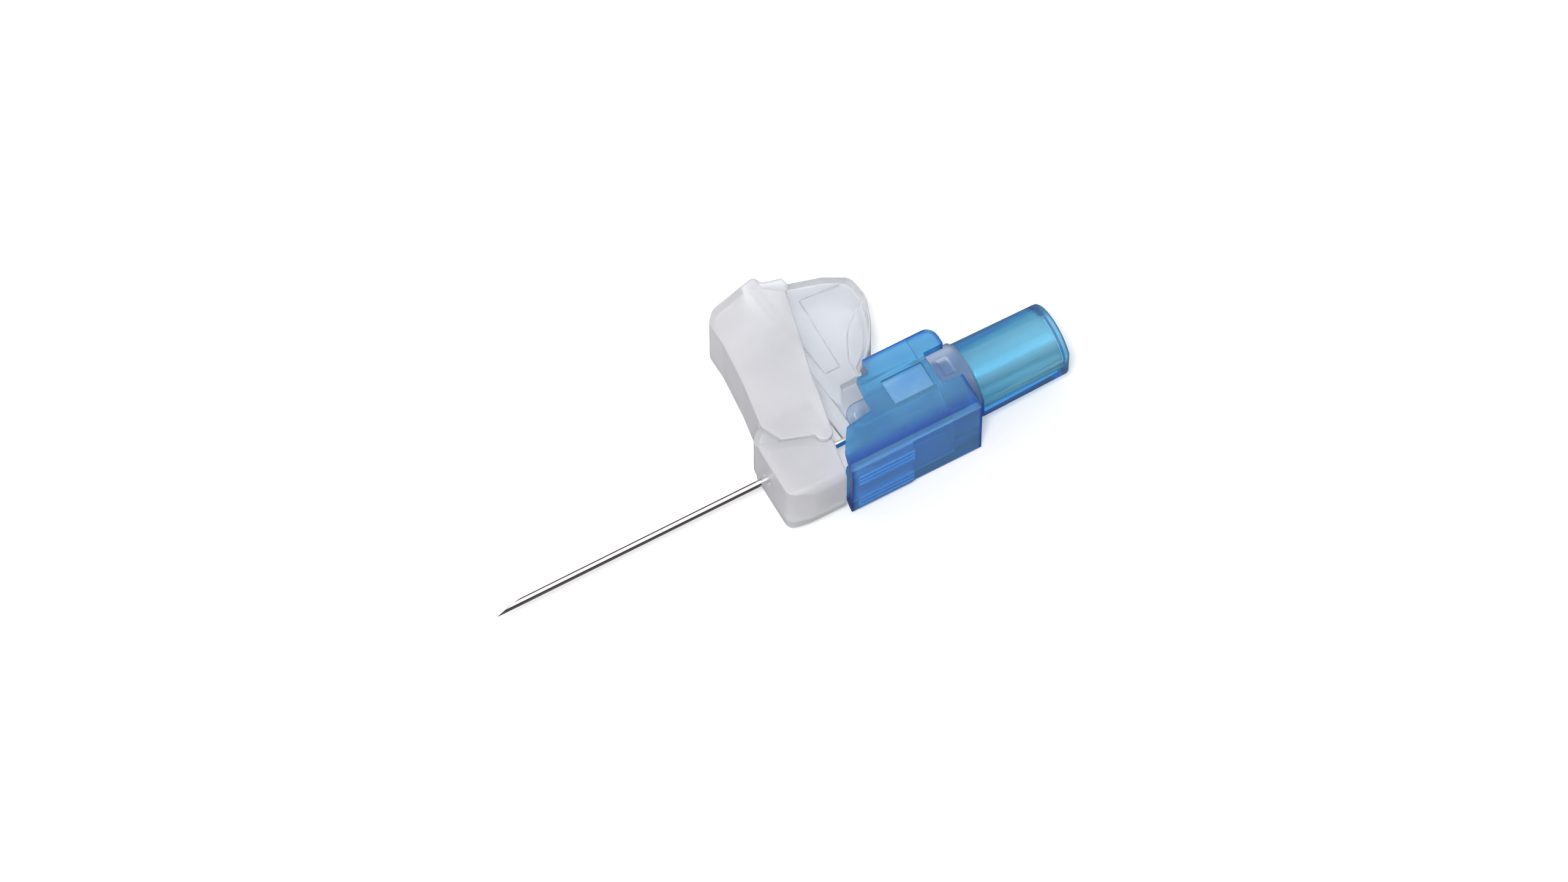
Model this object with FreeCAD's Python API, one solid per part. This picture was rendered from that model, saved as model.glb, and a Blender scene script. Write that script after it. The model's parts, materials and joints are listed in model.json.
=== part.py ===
import FreeCAD, Part

import math
import os

from FreeCAD import Vector

# Safety hypodermic needle: a steel cannula in a blue Luer hub, with a blue collar and a clear folding shield.
# All sizes are in millimetres. +X runs along the needle from its tip to the hub, with the origin at the
# centre of the Luer mouth. +Y is the side that the folded arms stand on, and +Z is up as the needle lies
# on its side. The needle is symmetric about the plane z = 0.

# Cannula
needle_outer_diameter = 0.64
needle_bore_diameter = 0.34
needle_reach = 38.1
needle_seat = 8.0
bevel_angle = 12.0
lancet_angle = 15.0
lancet_roll = 38.0

# Hub
hub_length = 21.1
barrel_length = 9.4
mouth_radius = 3.58
shoulder_radius = 3.7
mouth_chamfer = 0.2
luer_mouth_radius = 2.15
luer_taper = 0.03
luer_depth = 9.0
luer_lead_in = 0.6
funnel_length = 2.6
spigot_radius = 3.1
spigot_length = 3.2
core_radius = 2.6
nose_length = 3.4
nose_root_radius = 1.7
nose_tip_radius = 1.45
nose_cone_length = 0.8
flat_drop_mouth = 2.95
flat_drop_shoulder = 3.4
glue_well_radius = 0.95
glue_well_depth = 1.8
glue_dome = 0.25

# Clearances
slip_fit = 0.05
glue_line = 0.02
layer_gap = 0.1
pin_clearance = 0.05
notch_clearance = 0.1
turning_gap = 0.2

# Hinge lines: all pivots run along Z
hinge_line_y = 0.3
rear_pivot_back = 20.6
pivot_spread = 3.8
top_pivot_rise = 16.75
pin_radius = 0.42
arm_pin_radius = 0.3
pin_skin = 0.15
top_boss_radius = 0.62
rear_boss_radius = 1.1
front_boss_radius = 0.75
front_eye_radius = 0.85

# Side layers, from the middle outwards
inner_layer_start = 2.1
inner_wall = 0.6
outer_wall = 0.55
thin_wall = 0.3

# Carrier ring and lugs
shoulder_gap = 0.1
ring_overhang = 1.0
ring_wall = 0.8
ring_length = 3.6
lug_radius = 1.25
key_height = 3.5
key_depth = 1.0
ring_flat_drop = 3.4
key_centre_y = 0.65
key_pocket_depth = 0.25
key_pocket_margin = 0.55

# Collar
collar_half_width = 4.4
collar_crest_y = -1.0
collar_crest_radius = 6.0
collar_edge_half_width = 4.15
collar_bottom = 5.15
collar_bottom_half_width = 3.85
collar_floor = 0.8
cavity_corner_radius = 1.6
seat_run_out = 2.0
collar_side_wall = 0.85
collar_front_back = 24.4
collar_knee = (24.0, -2.96)
collar_step_front = (22.6, -0.8)
collar_step_rear = (19.75, -0.4)
collar_shelf = (19.4, 3.2)
rail_front_back = 18.0
rail_bottom = 2.53
rail_top = 4.7
rail_inner_half_width = 3.3
rail_groove = 0.2
rail_end_radius = 1.3
block_back = 17.9
block_proud = 0.2
rib_inner = 1.2
rib_outer = 2.9
rib_width = 0.35
rib_count = 3
rib_height = 0.3
window_front_back = 17.5
window_land = 0.6
window_bottom = -0.9
window_top = 1.9
window_skin = 0.25
notch_length = 2.1

# Needle guard
guard_front_back = 30.55
guard_wall = 0.55
guard_floor = 0.55
guard_top = 4.0
guard_bottom_rear = 4.7
guard_bottom_front = 4.0
guard_rear_back = 23.9
guard_rear_low_back = 24.72
guard_corner_radius = 1.9
guard_toe_radius = 0.9
guard_edge_radius = 0.9
guard_hole_radius = 0.6
guard_lip_radius = 1.1
guard_lip = 0.35
crease_front = (28.3, 1.5)
crease_rear = (23.9, -0.1)

# Lock clip
clip_thickness = 0.15
clip_half_width = 1.2

# Front arm
arm_web = 0.55
foot_setback = 0.1
front_web_low = (29.2, 3.7)
front_web_waist = (28.45, 8.4)
front_web_belly = (28.05, 13.0)
front_web_shoulder = (28.15, 15.5)
front_web_brow = (27.1, 16.6)
front_web_end_back = 23.65
front_peak = (22.4, 17.7)
front_scoop = (21.65, 16.85)
front_lip_top = (19.85, 16.35)
front_lip_tip = (19.65, 15.35)
front_lip_root = (20.25, 15.0)
front_rear_high = (21.3, 10.4)
front_rear_low = (22.4, 6.2)
front_band = [(22.1, 16.3), (20.3, 15.0), (19.0, 14.9), (19.0, 18.5), (22.1, 18.5)]
band_step = 0.1

# Rear arm
pad_top = (19.9, 15.95)
pad_brow = (16.4, 14.9)
pad_crown = (14.1, 13.6)
pad_back = (13.75, 11.2)
pad_hollow = (14.75, 8.4)
pad_waist = (16.2, 6.0)
pad_root = (18.1, 4.5)
pad_corner_radii = [1.0, 2.0, 1.2, 2.5, 8.0, 6.0, 0.6]
pad_inner_radii = [0, 1.5, 0.8, 2.0, 8.0, 6.0, 0]
plate_top_front = (19.4, 13.85)
plate_top_rear = (14.3, 13.4)
plate_curve_start = (14.5, 11.0)
plate_curve_middle = (17.1, 8.95)
plate_curve_end = (18.5, 6.1)
plate_front_low = (19.5, 5.9)
shelf_y = 4.2
shelf_thickness = 0.4
shelf_front_back = 20.45
shelf_rear_back = 18.5

X_AXIS = Vector(1, 0, 0)
Z_AXIS = Vector(0, 0, 1)
ORIGIN = Vector(0, 0, 0)

needle_radius = needle_outer_diameter / 2
tip_x = -hub_length - needle_reach
rear_pivot = Vector(-rear_pivot_back, hinge_line_y, 0)
front_pivot = Vector(-rear_pivot_back - pivot_spread, hinge_line_y, 0)
top_pivot = Vector(-rear_pivot_back - pivot_spread / 2, hinge_line_y + top_pivot_rise, 0)
inner_layer_end = inner_layer_start + inner_wall
outer_layer_start = inner_layer_end + layer_gap
outer_layer_end = outer_layer_start + outer_wall
pin_hole_end = outer_layer_end - pin_skin
pin_end = pin_hole_end - pin_clearance
ring_inner_radius = spigot_radius + slip_fit
ring_outer_radius = ring_inner_radius + ring_wall
ring_rear_x = -barrel_length - shoulder_gap
collar_rear_back = barrel_length + shoulder_gap + ring_overhang
window_rear_back = collar_rear_back + notch_length + window_land
ring_front_x = ring_rear_x - ring_length


def back(point):
    """A point given as distance behind the mouth and height, in the part's own axes."""
    return (-point[0], point[1])


def outline(points):
    """A closed flat face in the XY plane. Each point is (x, y) or (x, y, corner radius)."""
    count = len(points)
    edges = []
    starts = []
    ends = []
    arcs = []
    for i in range(count):
        here = Vector(points[i][0], points[i][1], 0)
        radius = points[i][2] if len(points[i]) > 2 else 0
        before = Vector(points[i - 1][0], points[i - 1][1], 0) - here
        after = Vector(points[(i + 1) % count][0], points[(i + 1) % count][1], 0) - here
        if radius == 0:
            starts.append(here)
            ends.append(here)
            arcs.append(None)
            continue
        half = before.getAngle(after) / 2
        reach = radius / math.tan(half)
        before.normalize()
        after.normalize()
        middle = (before + after).normalize()
        centre = here + middle * (radius / math.sin(half))
        start = here + before * reach
        end = here + after * reach
        starts.append(start)
        ends.append(end)
        arcs.append(Part.Arc(start, centre - middle * radius, end).toShape())
    for i in range(count):
        if arcs[i] is not None:
            edges.append(arcs[i])
        following = starts[(i + 1) % count]
        if ends[i].distanceToPoint(following) > 1e-6:
            edges.append(Part.LineSegment(ends[i], following).toShape())
    return Part.Face(Part.Wire(edges))


def slab(points, low, high):
    """An outline given thickness from z = low to z = high."""
    face = outline(points)
    face.translate(Vector(0, 0, low))
    return face.extrude(Vector(0, 0, high - low))


def both_sides(shape):
    """A shape together with its mirror image across z = 0."""
    return shape.fuse(shape.mirror(ORIGIN, Z_AXIS))


def turned(profile):
    """A solid turned about the needle's axis from points (x, radius)."""
    wire = Part.makePolygon([Vector(x, r, 0) for x, r in profile + profile[:1]])
    return Part.Face(wire).revolve(ORIGIN, X_AXIS, 360)


def disc(centre, radius, low, high):
    """A round slab about a pivot, from z = low to z = high."""
    return Part.makeCylinder(radius, high - low, Vector(centre.x, centre.y, low), Z_AXIS)


def block(x_low, x_high, y_low, y_high, z_low, z_high):
    """A box between two corners."""
    return Part.makeBox(x_high - x_low, y_high - y_low, z_high - z_low, Vector(x_low, y_low, z_low))


def bar(section, x_low, x_high):
    """A bar along X whose section is an outline of points (z, y) or (z, y, corner radius)."""
    face = outline(section)
    face.rotate(ORIGIN, Vector(0, 1, 0), -90)
    face.translate(Vector(x_low, 0, 0))
    return face.extrude(Vector(x_high - x_low, 0, 0))


def make_cannula():
    """The steel tube with a long bevel and two lancet cuts that face the arms."""
    length = needle_reach + needle_seat
    tube = Part.makeCylinder(needle_radius, length, Vector(tip_x, 0, 0), X_AXIS)
    bore = Part.makeCylinder(needle_bore_diameter / 2, length + 2, Vector(tip_x - 1, 0, 0), X_AXIS)
    tube = tube.cut(bore)
    size = needle_outer_diameter * 12
    bevel = block(-size, size, 0, size, -size, size)
    bevel.rotate(ORIGIN, Z_AXIS, bevel_angle)
    bevel.translate(Vector(tip_x, -needle_radius, 0))
    tube = tube.cut(bevel)
    for side in (-1, 1):
        lancet = block(-size, size, 0, size, -size, size)
        lancet.rotate(ORIGIN, Z_AXIS, lancet_angle)
        lancet.translate(Vector(tip_x, -needle_radius, 0))
        lancet.rotate(Vector(tip_x, -needle_radius, 0), X_AXIS, side * lancet_roll)
        tube = tube.cut(lancet)
    return tube


def make_hub():
    """The Luer hub: tapered socket, stepped outside, needle seat and glue well in the nose."""
    seat_radius = needle_radius + glue_line
    core_start = barrel_length + spigot_length
    nose_start = hub_length - nose_length
    floor_radius = luer_mouth_radius - luer_taper * (luer_depth - luer_lead_in)
    body = turned([
        (0, luer_mouth_radius),
        (0, mouth_radius - mouth_chamfer),
        (-mouth_chamfer, mouth_radius),
        (-barrel_length, shoulder_radius),
        (-barrel_length, spigot_radius),
        (-core_start, spigot_radius),
        (-core_start - (spigot_radius - core_radius), core_radius),
        (-nose_start + nose_cone_length, core_radius),
        (-nose_start, nose_root_radius),
        (-hub_length, nose_tip_radius),
        (-hub_length, glue_well_radius),
        (-hub_length + glue_well_depth, seat_radius),
        (-luer_depth - funnel_length, seat_radius),
        (-luer_depth, floor_radius),
        (-luer_lead_in, luer_mouth_radius),
    ])
    flat = Part.makePolygon([
        Vector(1, -flat_drop_mouth, 0),
        Vector(-barrel_length, -flat_drop_shoulder, 0),
        Vector(-barrel_length, -shoulder_radius * 2, 0),
        Vector(1, -shoulder_radius * 2, 0),
        Vector(1, -flat_drop_mouth, 0),
    ])
    cut = Part.Face(flat)
    cut.translate(Vector(0, 0, -shoulder_radius))
    return body.cut(cut.extrude(Vector(0, 0, shoulder_radius * 2)))


def make_glue_bead():
    """The clear adhesive that fills the well round the cannula and domes a little at the nose."""
    inner = needle_radius + glue_line
    rim = glue_well_radius - glue_line * 2
    return turned([
        (-hub_length - glue_dome, inner),
        (-hub_length - glue_dome, inner + glue_dome / 2),
        (-hub_length - glue_dome / 2, (inner + rim) / 2),
        (-hub_length, rim),
        (-hub_length + glue_well_depth * 0.8, inner + glue_line * 4),
        (-hub_length + glue_well_depth * 0.8, inner),
    ])


def make_carrier():
    """The clear ring that snaps round the hub, with a keyed boss and a hinge lug on each side."""
    ring = Part.makeCylinder(ring_outer_radius, ring_length, Vector(ring_front_x, 0, 0), X_AXIS)
    key_low = key_centre_y - key_height / 2
    key = block(-collar_rear_back - notch_length + notch_clearance, ring_rear_x, key_low,
                key_low + key_height, inner_layer_end, ring_inner_radius + key_depth)
    pocket_low = key_low + key_pocket_margin
    pocket = block(-collar_rear_back - notch_length + notch_clearance + key_pocket_margin,
                   -collar_rear_back - key_pocket_margin * 0.6, pocket_low,
                   key_low + key_height - key_pocket_margin,
                   ring_inner_radius + key_depth - key_pocket_depth, collar_half_width)
    lug = disc(rear_pivot, lug_radius, outer_layer_start, outer_layer_end)
    stem = block(-rear_pivot_back, ring_front_x + ring_wall, hinge_line_y - lug_radius,
                 hinge_line_y + lug_radius, outer_layer_start, outer_layer_end)
    eye = disc(rear_pivot, pin_radius + pin_clearance, inner_layer_start, pin_hole_end)
    crown = Part.makeCylinder(ring_inner_radius + key_depth, ring_length,
                              Vector(ring_front_x, 0, 0), X_AXIS)
    side = key.common(crown).cut(pocket).fuse(lug).fuse(stem).cut(eye)
    bore = Part.makeCylinder(ring_inner_radius, ring_length + ring_wall,
                             Vector(ring_front_x - slip_fit, 0, 0), X_AXIS)
    clear = Part.makeCylinder(ring_inner_radius, ring_length, Vector(ring_front_x, 0, 0), X_AXIS)
    flat = block(ring_front_x - 1, ring_rear_x + 1, -collar_bottom, -ring_flat_drop, -collar_half_width,
                 collar_half_width)
    body = ring.fuse(both_sides(side)).cut(clear).cut(bore).cut(flat)
    return body.removeSplitter()


def make_collar():
    """The blue housing: a trough with an open top between two rails, ribbed underneath at the front."""
    front_x = -collar_front_back
    rear_x = -collar_rear_back
    section = [
        (collar_half_width, rail_top, 0.25),
        (collar_half_width, rail_bottom),
        (collar_half_width - rail_groove, rail_bottom - rail_groove),
        (collar_half_width - 0.02, collar_crest_y, collar_crest_radius),
        (collar_edge_half_width, -collar_bottom + 0.9, 0.5),
        (collar_bottom_half_width, -collar_bottom, 0.35),
    ]
    mirrored = [(-p[0],) + tuple(p[1:]) for p in reversed(section)]
    trough = bar(section + mirrored, front_x, rear_x)
    side = slab([
        (front_x, -collar_bottom - 1),
        (front_x, -collar_bottom + 0.1),
        back(collar_knee) + (1.0,),
        back(collar_step_front) + (0.4,),
        back(collar_step_rear) + (0.25,),
        back(collar_shelf) + (0.3,),
        (-rail_front_back, collar_shelf[1]),
        (-rail_front_back, rail_top, 0.3),
        (rear_x, rail_top, rail_end_radius),
        (rear_x, -collar_bottom - 1),
    ], -collar_half_width - 1, collar_half_width + 1)
    body = trough.common(side)
    plate = block(-block_back, rear_x + 1, -collar_bottom - 1, -collar_bottom + block_proud,
                  -collar_half_width, collar_half_width)
    body = body.cut(plate)
    cavity_half = collar_half_width - collar_side_wall
    cavity = bar([
        (cavity_half, rail_top + 1),
        (cavity_half, -collar_bottom + collar_floor, cavity_corner_radius),
        (-cavity_half, -collar_bottom + collar_floor, cavity_corner_radius),
        (-cavity_half, rail_top + 1),
    ], front_x - 1, ring_front_x - slip_fit)
    body = body.cut(cavity)
    seat = Part.makeCylinder(ring_outer_radius + slip_fit, ring_length + seat_run_out,
                             Vector(ring_front_x - slip_fit, 0, 0), X_AXIS)
    body = body.cut(seat)
    between_rails = block(front_x - 1, rear_x + 1, 0, rail_top + 1, -rail_inner_half_width,
                          rail_inner_half_width)
    body = body.cut(between_rails)
    key_low = key_centre_y - key_height / 2 - notch_clearance
    notch = block(rear_x - notch_length, rear_x + 1, key_low, key_low + key_height + notch_clearance * 2,
                  0, collar_half_width + 1)
    window = block(-window_front_back, -window_rear_back, window_bottom, window_top,
                   cavity_half + window_skin, collar_half_width + 1)
    body = body.cut(both_sides(notch.fuse(window)))
    ribs = make_collar_ribs()
    return body.fuse(both_sides(ribs)).removeSplitter()


def make_collar_ribs():
    """Grip ribs under the collar's front block, on one side of the middle."""
    pitch = (rib_outer - rib_inner - rib_width) / (rib_count - 1)
    ribs = []
    for i in range(rib_count):
        z_low = rib_inner + i * pitch
        ribs.append(block(-collar_front_back + 0.6, -block_back, -collar_bottom - rib_height,
                          -collar_bottom + collar_floor / 2, z_low, z_low + rib_width))
    return ribs[0].multiFuse(ribs[1:])


def guard_section(half_width, top, bottom, radius):
    """Section of the guard across the needle, with rounded lower edges."""
    return [
        (half_width, top, 0.3),
        (half_width, -bottom, radius),
        (-half_width, -bottom, radius),
        (-half_width, top, 0.3),
    ]


def guard_side(inset):
    """Side view of the guard, drawn in by an inset on its closed sides."""
    bottom_slope = (guard_bottom_rear - guard_bottom_front) / (guard_front_back - guard_rear_low_back)
    rear_inset = -1.0 if inset else 0.0
    rear_low = guard_rear_low_back + rear_inset
    return [
        (-guard_front_back + inset, guard_top - inset, guard_corner_radius - inset),
        (-guard_front_back + inset, -guard_bottom_front + inset, guard_toe_radius - inset / 2),
        (-guard_front_back + inset + 2.4, -guard_bottom_rear - bottom_slope * 0.2 + inset, 2.0),
        (-rear_low, -guard_bottom_rear + inset),
        (-guard_rear_back - rear_inset, crease_rear[1]),
        (-guard_rear_back - rear_inset, guard_top - inset),
    ]


def crease_height(x):
    """Height of the crease where the front arm's side ends, at a place along the needle."""
    slope = (crease_front[1] - crease_rear[1]) / (crease_front[0] - crease_rear[0])
    return crease_rear[1] - slope * (x + crease_rear[0])


def below_crease(shift):
    """Everything under the crease where the front arm ends, moved down by a shift."""
    far = 4.0
    rear_x = -crease_rear[0] + far
    front_x = -guard_front_back - far
    return slab([
        (rear_x, crease_height(rear_x) - shift),
        (front_x, crease_height(front_x) - shift),
        (front_x, -guard_bottom_rear - far),
        (rear_x, -guard_bottom_rear - far),
    ], -outer_layer_end - 1, outer_layer_end + 1)


def make_guard():
    """The clear guard round the needle: hollow, open at the rear, narrower where the front arm laps it."""
    x_low = -guard_front_back - 1
    x_high = -guard_rear_back + 3
    half = outer_layer_end
    upper_half = inner_layer_end
    wide = bar(guard_section(half, guard_top, guard_bottom_rear, guard_edge_radius), x_low, x_high)
    narrow = bar(guard_section(upper_half, guard_top, guard_bottom_rear, guard_edge_radius), x_low, x_high)
    side = slab(guard_side(0), -half - 1, half + 1)
    eye_sweep = both_sides(disc(front_pivot, front_eye_radius + turning_gap, upper_half, half + 1))
    lower = wide.common(side).common(below_crease(turning_gap)).cut(eye_sweep)
    upper = narrow.common(side)
    boss = both_sides(disc(front_pivot, front_boss_radius, inner_layer_start, upper_half))
    body = lower.fuse(upper)
    hollow_side = slab(guard_side(guard_wall), -half, half)
    hollow_wide = bar(guard_section(half - guard_wall, guard_top, guard_bottom_rear - guard_floor,
                                    guard_edge_radius - guard_wall / 2), x_low, x_high)
    hollow_narrow = bar(guard_section(inner_layer_start, guard_top, guard_bottom_rear, 0.3), x_low, x_high)
    hollow = hollow_wide.common(below_crease(turning_gap + guard_wall))
    hollow = hollow.fuse(hollow_narrow).common(hollow_side)
    wide_eye = both_sides(disc(front_pivot, front_eye_radius + turning_gap + guard_wall,
                               inner_layer_start, half))
    hollow = hollow.cut(wide_eye)
    body = body.cut(hollow).fuse(boss)
    lip = Part.makeCylinder(guard_lip_radius, guard_lip + guard_wall, Vector(-guard_front_back, 0, 0), X_AXIS)
    hole = Part.makeCylinder(guard_hole_radius, 4, Vector(-guard_front_back - 1, 0, 0), X_AXIS)
    pins = both_sides(disc(front_pivot, arm_pin_radius, inner_layer_start, pin_end))
    return body.fuse(lip).cut(hole).fuse(pins).removeSplitter()


def make_lock_clip():
    """The steel leaf on the guard's floor that springs up across the tip once the guard covers it."""
    floor = -guard_bottom_rear + guard_floor + glue_line
    front_x = -guard_front_back + guard_wall + turning_gap
    rear_x = -guard_rear_low_back - 0.6
    path = [
        (rear_x, floor),
        (rear_x - 1.5, floor),
        (rear_x - 2.1, floor + 1.7),
        (front_x + 0.9, floor + 2.0),
        (front_x + 0.35, -needle_radius - turning_gap),
    ]
    upper = [(x, y + clip_thickness) for x, y in path[:3]]
    upper.append((path[3][0] + clip_thickness, path[3][1] + clip_thickness))
    upper.append((path[4][0] + clip_thickness, path[4][1]))
    return slab(path + list(reversed(upper)), -clip_half_width, clip_half_width)


def make_front_arm():
    """The front arm: two outer side walls joined by a web on the tip side."""
    eye = front_eye_radius
    rear_x = front_pivot.x + eye * 0.5
    wall = outline([
        back(crease_front) + (0.4,),
        back(front_web_low) + (0.5,),
        back(front_web_waist) + (3.0,),
        back(front_web_belly) + (6.0,),
        back(front_web_shoulder) + (1.0,),
        back(front_web_brow) + (1.0,),
        back(front_peak) + (0.1,),
        back(front_scoop) + (0.6,),
        back(front_lip_top) + (0.25,),
        back(front_lip_tip) + (0.2,),
        back(front_lip_root) + (0.3,),
        back(front_rear_high) + (6.0,),
        back(front_rear_low) + (6.0,),
        (front_pivot.x + eye, hinge_line_y),
        (rear_x, crease_height(rear_x)),
    ])
    wall.translate(Vector(0, 0, outer_layer_start))
    wall = wall.extrude(Vector(0, 0, outer_wall))
    wall = wall.fuse(disc(front_pivot, eye, outer_layer_start, outer_layer_end))
    wall = wall.fuse(disc(top_pivot, top_boss_radius, outer_layer_start, outer_layer_end))
    holes = disc(front_pivot, arm_pin_radius + pin_clearance, 0, pin_hole_end)
    holes = holes.fuse(disc(top_pivot, arm_pin_radius + pin_clearance, 0, pin_hole_end))
    band = slab([back(point) for point in front_band], outer_layer_end - band_step, outer_layer_end + 1)
    holes = holes.fuse(band)
    foot_y = guard_top + turning_gap
    foot_x = -front_web_low[0] + foot_setback
    web_points = [
        (foot_x, foot_y, 0.2),
        back(front_web_waist) + (3.0,),
        back(front_web_belly) + (6.0,),
        back(front_web_shoulder) + (1.0,),
        back(front_web_brow) + (1.0,),
        back(front_peak),
    ]
    inner_points = [
        (front_peak[0] * -1, front_peak[1] - arm_web * 1.1),
        (-front_web_brow[0] + arm_web * 0.5, front_web_brow[1] - arm_web, 0.4),
        (-front_web_shoulder[0] + arm_web, front_web_shoulder[1] - arm_web * 0.5, 0.4),
        (-front_web_belly[0] + arm_web, front_web_belly[1], 6.0),
        (-front_web_waist[0] + arm_web, front_web_waist[1], 3.0),
        (foot_x + arm_web, foot_y),
    ]
    web = slab(web_points + inner_points, -outer_layer_end, outer_layer_end)
    beyond = block(-front_web_end_back, 0, 0, 40, -outer_layer_end, outer_layer_end)
    web = web.cut(beyond)
    return both_sides(wall).fuse(web).cut(both_sides(holes)).removeSplitter()


def make_rear_arm():
    """The rear arm: thin side walls with thicker plates, joined by the thumb pad on the hub side."""
    pad = [back(p) for p in (pad_top, pad_brow, pad_crown, pad_back, pad_hollow, pad_waist, pad_root)]
    pad_edge = [point + (radius,) for point, radius in zip(pad, pad_corner_radii)]
    top_left = (top_pivot.x - top_boss_radius * 0.9, top_pivot.y)
    low_left = (rear_pivot.x - rear_boss_radius, rear_pivot.y + 0.4)
    low_right = (rear_pivot.x + rear_boss_radius, rear_pivot.y)
    wall_start = inner_layer_end - thin_wall
    thin = slab([low_left, top_left, (top_pivot.x, top_pivot.y), (top_pivot.x + 0.6, top_pivot.y - 0.3)]
                + pad_edge + [low_right], wall_start, inner_layer_end)
    plate = slab([
        back(plate_top_front) + (0.15,),
        back(plate_top_rear) + (0.5,),
        back(plate_curve_start) + (0.5,),
        back(plate_curve_middle) + (5.0,),
        back(plate_curve_end) + (1.0,),
        (-shelf_rear_back, shelf_y),
        low_right,
        (rear_pivot.x, rear_pivot.y),
        low_left,
        (low_left[0] - 0.3, plate_front_low[1]),
        back(plate_front_low),
    ], inner_layer_start, inner_layer_end)
    bosses = disc(rear_pivot, rear_boss_radius, inner_layer_start, inner_layer_end)
    bosses = bosses.fuse(disc(top_pivot, top_boss_radius, inner_layer_start, inner_layer_end))
    rib_left = slab([
        (top_pivot.x - top_boss_radius * 0.5, top_pivot.y),
        (top_pivot.x + top_boss_radius * 0.5, top_pivot.y),
        (low_left[0] + 0.6, plate_front_low[1] - 0.5),
        (low_left[0] - 0.3, plate_front_low[1] - 0.5),
    ], inner_layer_start, inner_layer_end)
    pins = disc(rear_pivot, pin_radius, inner_layer_start, pin_end)
    pins = pins.fuse(disc(top_pivot, arm_pin_radius, inner_layer_start, pin_end))
    web_in = arm_web
    inner_edge = [
        (pad[6][0] - web_in * 0.4, pad[6][1] + web_in * 0.9),
        (pad[5][0] - web_in * 0.8, pad[5][1] + web_in * 0.5, pad_inner_radii[5]),
        (pad[4][0] - web_in * 0.9, pad[4][1] + web_in * 0.3, pad_inner_radii[4]),
        (pad[3][0] - web_in, pad[3][1], pad_inner_radii[3]),
        (pad[2][0] - web_in * 0.8, pad[2][1] - web_in * 0.6, pad_inner_radii[2]),
        (pad[1][0] - web_in * 0.3, pad[1][1] - web_in, pad_inner_radii[1]),
        (pad[0][0], pad[0][1] - web_in),
    ]
    web = slab([pad[0]] + pad_edge[1:-1] + [pad[-1]] + inner_edge, -inner_layer_end, inner_layer_end)
    shelf = block(-shelf_front_back, -shelf_rear_back, shelf_y - shelf_thickness, shelf_y, -inner_layer_end,
                  inner_layer_end)
    side = thin.fuse(plate).fuse(bosses).fuse(rib_left).fuse(pins)
    return both_sides(side).fuse(web).fuse(shelf).removeSplitter()


def write_parts():
    """Writes one STEP file for each piece."""
    os.makedirs("parts", exist_ok=True)
    pieces = {
        "needle_cannula": make_cannula(),
        "luer_hub": make_hub(),
        "glue_bead": make_glue_bead(),
        "shield_carrier": make_carrier(),
        "collar": make_collar(),
        "rear_arm": make_rear_arm(),
        "front_arm": make_front_arm(),
        "needle_guard": make_guard(),
        "lock_clip": make_lock_clip(),
    }
    for name, shape in pieces.items():
        solids = shape.Solids
        result = solids[0] if len(solids) == 1 else Part.makeCompound(solids)
        result.exportStep("parts/" + name + ".step")
        box = result.BoundBox
        print(name, len(solids), "solid", result.isValid(), round(result.Volume, 3),
              [round(v, 2) for v in (box.XMin, box.XMax, box.YMin, box.YMax, box.ZMin, box.ZMax)])


def report_motion():
    """Prints the pivots and the unfolding angle that follow from the sizes."""
    arm_length = math.hypot(pivot_spread / 2, top_pivot_rise)
    unfold = math.degrees(math.acos(pivot_spread / 2 / arm_length))
    travel = 2 * arm_length - pivot_spread
    print("pivots", rear_pivot, top_pivot, front_pivot)
    print("arm length", round(arm_length, 4), "unfold angle", round(unfold, 4))
    print("guard travel", round(travel, 3), "guard front at", round(-guard_front_back - travel, 3),
          "tip at", round(tip_x, 3))


write_parts()
report_motion()
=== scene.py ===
"""Safety hypodermic needle: moulded skins, finishes and studio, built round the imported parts."""

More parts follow.
